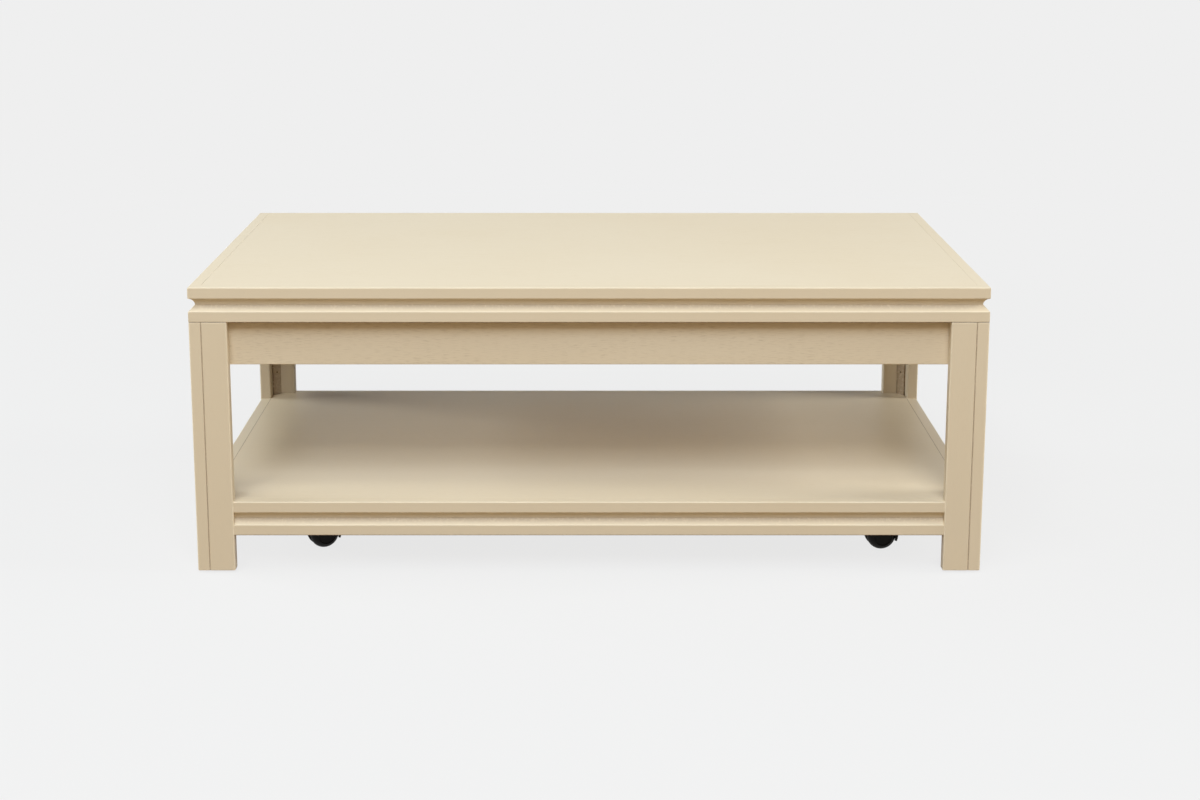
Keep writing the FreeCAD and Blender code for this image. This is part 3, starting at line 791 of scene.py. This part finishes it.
class COFFEE_TABLE_OT_legs(bpy.types.Operator):
    """Stand the two boards and the corner block of each leg"""

    bl_idname = "coffee_table.legs"
    bl_label = "Legs"

    def execute(self, context):
        edges = context.scene.table_edges
        seed = FIRST_LEG_BOARD
        for corner, (sx, sy) in CORNERS.items():
            for board in ("side_board", "face_board"):
                node = f"leg_{corner}_{board}"
                low, high = span(node)
                (outer_x, outer_y), (inner_x, inner_y) = outer_and_inner(node, sx, sy)
                plain, joint = (edges.leg_arris, 0), (edges.leg_joint, LEG_JOINT)
                if board == "side_board":
                    eases = (plain, joint, plain, plain)
                else:
                    eases = (joint, plain, plain, joint)
                plan = [(outer_x, outer_y), (inner_x, outer_y), (inner_x, inner_y), (outer_x, inner_y)]
                corners = [(*place, *ease) for place, ease in zip(plan, eases)]
                rings = board_rings(corners, low[2], high[2], edges.leg_end, edges.hand_wave, seed)
                mesh = put_mesh(node, *rings, seed)
                stand_for(node, mesh, cream_lacquer("z", FILLED_GRAIN))
                seed += 1
            self.put_block(f"leg_{corner}_corner_block", sx, sy, edges, seed)
            seed += 1
        return {"FINISHED"}

    @staticmethod
    def put_block(node, sx, sy, edges, seed):
        """The three-sided block, its slanted face drawn back so that the nail heads stand proud of it."""
        low, high = span(node)
        (outer_x, outer_y), (inner_x, inner_y) = outer_and_inner(node, sx, sy)
        drawn = edges.head_proud * math.sqrt(2)
        plan = [(outer_x, outer_y), (inner_x + sx * drawn, outer_y), (outer_x, inner_y + sy * drawn)]
        # The block's edges take the open joints' brown, partly joints with the boards and partly painted
        # shade
        corners = [(x, y, edges.block_arris, OPEN_JOINT) for x, y in plan]
        rings, edge, seam = board_rings(corners, low[2], high[2], edges.block_ease, 0, seed)
        # Painted shade: the whole block is browned for the shade in its leg's inner corner
        mesh = put_mesh(node, rings, edge, np.maximum(seam, BLOCK_SHADE), seed)
        stand_for(node, mesh, cream_lacquer("z", FILLED_GRAIN))


class COFFEE_TABLE_OT_aprons(bpy.types.Operator):
    """Set the four open-grained aprons behind the legs"""

    bl_idname = "coffee_table.aprons"
    bl_label = "Aprons"

    def execute(self, context):
        edges = context.scene.table_edges
        for seed, (side, (sx, sy)) in enumerate(SIDES.items(), start=FIRST_APRON):
            node = f"apron_{side}"
            low, high = span(node)
            grain, cross = ("y", 0) if sx else ("x", 1)
            run = 1 - cross
            near, far = low[cross], high[cross]
            if sx + sy > 0:
                near += edges.head_proud
            else:
                far -= edges.head_proud
            corners = [
                (near, low[2], edges.apron_arris, 0),
                (far, low[2], edges.apron_arris, 0),
                (far, high[2], edges.apron_arris, 0),
                (near, high[2], edges.apron_arris, 0),
            ]
            ends = (low[run], high[run])
            rings, edge, seam = board_rings(corners, *ends, edges.panel_ease, edges.hand_wave, seed)
            order = (2, 0, 1) if run == 0 else (0, 2, 1)
            mesh = put_mesh(node, rings[..., order], edge, seam, seed)
            stand_for(node, mesh, cream_lacquer(grain, OPEN_GRAIN))
        return {"FINISHED"}


class COFFEE_TABLE_OT_hidden_timber(bpy.types.Operator):
    """Finish the battens, bearers, braces and dowels that are hidden under the table"""

    bl_idname = "coffee_table.hidden_timber"
    bl_label = "Hidden timber"

    def execute(self, context):
        for hand in HANDS:
            coat_node(f"top_batten_{hand}", bare_timber("y"))
            coat_node(f"castor_bearer_{hand}", bare_timber("y"))
        for corner in CORNERS:
            coat_node(f"apron_brace_{corner}", bare_timber("x"))
        coat_node("joint_dowels", beech())
        return {"FINISHED"}


class COFFEE_TABLE_OT_castors(bpy.types.Operator):
    """Finish the castors and the metal fittings"""

    bl_idname = "coffee_table.castors"
    bl_label = "Castors and fittings"

    def execute(self, context):
        for corner in CORNERS:
            coat_node(f"castor_{corner}_plate", zinc_steel())
            coat_node(f"castor_{corner}_axle", zinc_steel())
            coat_node(f"castor_{corner}_hood", castor_nylon("castor_hood_nylon", scuffs=0.08))
            for hand in HANDS:
                wheel = f"castor_{corner}_wheel_{hand}"
                coat_node(wheel, castor_nylon("castor_wheel_nylon", scuffs=0.3))
        for node in ("castor_kingpins", "castor_screws", "apron_screws", "batten_screws"):
            coat_node(node, zinc_steel())
        coat_node("corner_block_nails", dark_nail())
        return {"FINISHED"}


# Studio

FLOOR_REACH = 9.0  # from the table's centre to the floor's sides
FLOOR_LINES = 7  # lines of the floor's grid each way
FLOOR_FADE = (1.3, 3.6)  # distances over which the floor turns into the plain backdrop
LIGHT_AIM = (0.0, 0.0, 0.25)
LIGHT_DISTANCE = 7.0


class Softbox(NamedTuple):
    """A soft light: bearing from the front and elevation, both in degrees, then its size and colour.

    A mirrored light also shows as a sheen on glossy faces.
    """

    bearing: float
    elevation: float
    width: float
    height: float
    tint: tuple
    mirrored: bool


LIGHTS = {
    "front_light": Softbox(-2, 46, width=4.6, height=2.8, tint=(0.84, 0.91, 1.0), mirrored=True),
    "low_light": Softbox(8, 30, width=2.6, height=2.4, tint=(1.0, 0.86, 0.65), mirrored=True),
    "high_light": Softbox(-40, 62, width=2.2, height=2.2, tint=(0.98, 1.0, 0.92), mirrored=True),
    "left_light": Softbox(-97, 16, width=3.4, height=2.4, tint=(0.88, 0.95, 1.0), mirrored=False),
    "right_light": Softbox(86, 24, width=2.2, height=4.4, tint=(1.0, 1.0, 0.95), mirrored=False),
}


class COFFEE_TABLE_OT_stage(bpy.types.Operator):
    """Lay the floor, set the lights and place the camera"""

    bl_idname = "coffee_table.stage"
    bl_label = "Studio"

    def execute(self, context):
        stage = context.scene.table_stage
        self.lay_floor(context.scene, stage)
        self.light_world(context.scene, stage)
        for name, softbox in LIGHTS.items():
            self.hang_light(context.scene, name, getattr(stage, name), softbox)
        self.place_camera(context.scene, stage)
        context.scene.view_settings.view_transform = "Standard"
        return {"FINISHED"}

    @staticmethod
    def seen_rays(sheet):
        """One for camera, glossy and transmitted rays, nothing for the light that falls on the table."""
        seen = None
        for output in ("Is Camera Ray", "Is Glossy Ray", "Is Transmission Ray"):
            ray = sheet.node("ShaderNodeLightPath", output=output)
            seen = ray if seen is None else seen.highest(ray)
        return seen

    def lay_floor(self, scene, stage):
        """A square grid: x and y run from side to side, z is the level of the castors' treads."""
        reach = np.linspace(-FLOOR_REACH, FLOOR_REACH, FLOOR_LINES)
        x, y = np.meshgrid(reach, reach)
        points = np.stack([x, y, np.zeros_like(x)], axis=-1).reshape(-1, 3)
        index = np.arange(x.size).reshape(x.shape)
        around = (index[:-1, :-1], index[:-1, 1:], index[1:, 1:], index[1:, :-1])
        faces = np.stack(around, axis=-1).reshape(-1, 4)
        mesh = bpy.data.meshes.new("studio_floor")
        mesh.from_pydata(points.tolist(), [], faces.tolist())
        mesh.materials.append(self.floor_material(stage))
        floor = bpy.data.objects.new("studio_floor", mesh)
        scene.collection.objects.link(floor)

    def floor_material(self, stage):
        """Paint that keeps the shadow, lifted towards white near the table and plain backdrop further out.

        The light that the floor sends back to the table comes from a plain warm paint instead.
        """
        material = bpy.data.materials.new("studio_floor")
        material.use_nodes = True
        sheet = ShaderSheet(material.node_tree)
        far = sheet.between(sheet.length_of(sheet.place()), *FLOOR_FADE)
        glow = sheet.mix(far, (1, 1, 1), stage.backdrop)
        plain = sheet.node("ShaderNodeEmission", {}, {"Color": glow, "Strength": 1.0})
        paint = sheet.node("ShaderNodeBsdfDiffuse", {}, {"Color": opaque(stage.floor_paint)})
        lift = stage.floor_lift + (1 - stage.floor_lift) * far
        looks = sheet.node("ShaderNodeMixShader", {}, {0: lift, 1: paint, 2: plain})
        bounce = sheet.node("ShaderNodeBsdfDiffuse", {}, {"Color": opaque(stage.floor_bounce)})
        surface = sheet.node("ShaderNodeMixShader", {}, {0: self.seen_rays(sheet), 1: bounce, 2: looks})
        sheet.node("ShaderNodeOutputMaterial", {}, {"Surface": surface})
        return material

    def light_world(self, scene, stage):
        """The backdrop as it is seen, and the even light that falls from all round."""
        world = bpy.data.worlds.new("studio")
        scene.world = world
        world.use_nodes = True
        sheet = ShaderSheet(world.node_tree)
        around = sheet.node("ShaderNodeBackground", {}, {"Color": (1, 1, 1, 1), "Strength": stage.ambient})
        seen = sheet.node("ShaderNodeBackground", {}, {"Color": opaque(stage.backdrop), "Strength": 1.0})
        surface = sheet.node("ShaderNodeMixShader", {}, {0: self.seen_rays(sheet), 1: around, 2: seen})
        sheet.node("ShaderNodeOutputWorld", {}, {"Surface": surface})

    @staticmethod
    def hang_light(scene, name, watts, softbox):
        """A rectangular light that faces the table."""
        turn, rise = math.radians(softbox.bearing), math.radians(softbox.elevation)
        toward = Vector((math.sin(turn) * math.cos(rise), -math.cos(turn) * math.cos(rise), math.sin(rise)))
        lamp = bpy.data.lights.new(name, "AREA")
        lamp.shape = "RECTANGLE"
        lamp.size, lamp.size_y = softbox.width, softbox.height
        lamp.energy, lamp.color = watts, softbox.tint
        light = bpy.data.objects.new(name, lamp)
        light.location = Vector(LIGHT_AIM) + toward * LIGHT_DISTANCE
        light.rotation_euler = (-toward).to_track_quat("-Z", "Y").to_euler()
        light.visible_glossy = softbox.mirrored
        scene.collection.objects.link(light)

    @staticmethod
    def place_camera(scene, stage):
        """The camera, level across and dipped towards the table."""
        data = bpy.data.cameras.new("camera")
        data.lens = stage.lens
        data.shift_x, data.shift_y = stage.shift_x, stage.shift_y
        camera = bpy.data.objects.new("camera", data)
        camera.location = stage.camera_place
        camera.rotation_euler = (math.pi / 2 - stage.camera_dip, 0, 0)
        scene.collection.objects.link(camera)
        scene.camera = camera


class COFFEE_TABLE_PT_panel(bpy.types.Panel):
    """The table's settings and the steps that build its looks"""

    bl_label = "Coffee table"
    bl_idname = "COFFEE_TABLE_PT_panel"
    bl_space_type = "VIEW_3D"
    bl_region_type = "UI"
    bl_category = "Coffee table"

    def draw(self, context):
        for operator in OPERATORS:
            self.layout.operator(operator.bl_idname)
        for name in SETTINGS:
            group = getattr(context.scene, name)
            box = self.layout.box()
            for key in group.bl_rna.properties.keys():
                if key not in ("rna_type", "name"):
                    box.prop(group, key)


SETTINGS = {
    "table_edges": TableEdges,
    "table_lacquer": LacquerFinish,
    "table_timber": TimberFinish,
    "table_castors": CastorFinish,
    "table_stage": StudioStage,
}
OPERATORS = (
    COFFEE_TABLE_OT_panels,
    COFFEE_TABLE_OT_mouldings,
    COFFEE_TABLE_OT_legs,
    COFFEE_TABLE_OT_aprons,
    COFFEE_TABLE_OT_hidden_timber,
    COFFEE_TABLE_OT_castors,
    COFFEE_TABLE_OT_stage,
)


def register():
    for cls in (*SETTINGS.values(), *OPERATORS, COFFEE_TABLE_PT_panel):
        bpy.utils.register_class(cls)
    for name, group in SETTINGS.items():
        setattr(bpy.types.Scene, name, PointerProperty(type=group))


def unregister():
    for name in SETTINGS:
        delattr(bpy.types.Scene, name)
    for cls in (COFFEE_TABLE_PT_panel, *reversed(OPERATORS), *reversed(SETTINGS.values())):
        bpy.utils.unregister_class(cls)


def main():
    register()
    bpy.ops.coffee_table.panels()
    bpy.ops.coffee_table.mouldings()
    bpy.ops.coffee_table.legs()
    bpy.ops.coffee_table.aprons()
    bpy.ops.coffee_table.hidden_timber()
    bpy.ops.coffee_table.castors()
    bpy.ops.coffee_table.stage()


if __name__ == "__main__":
    main()
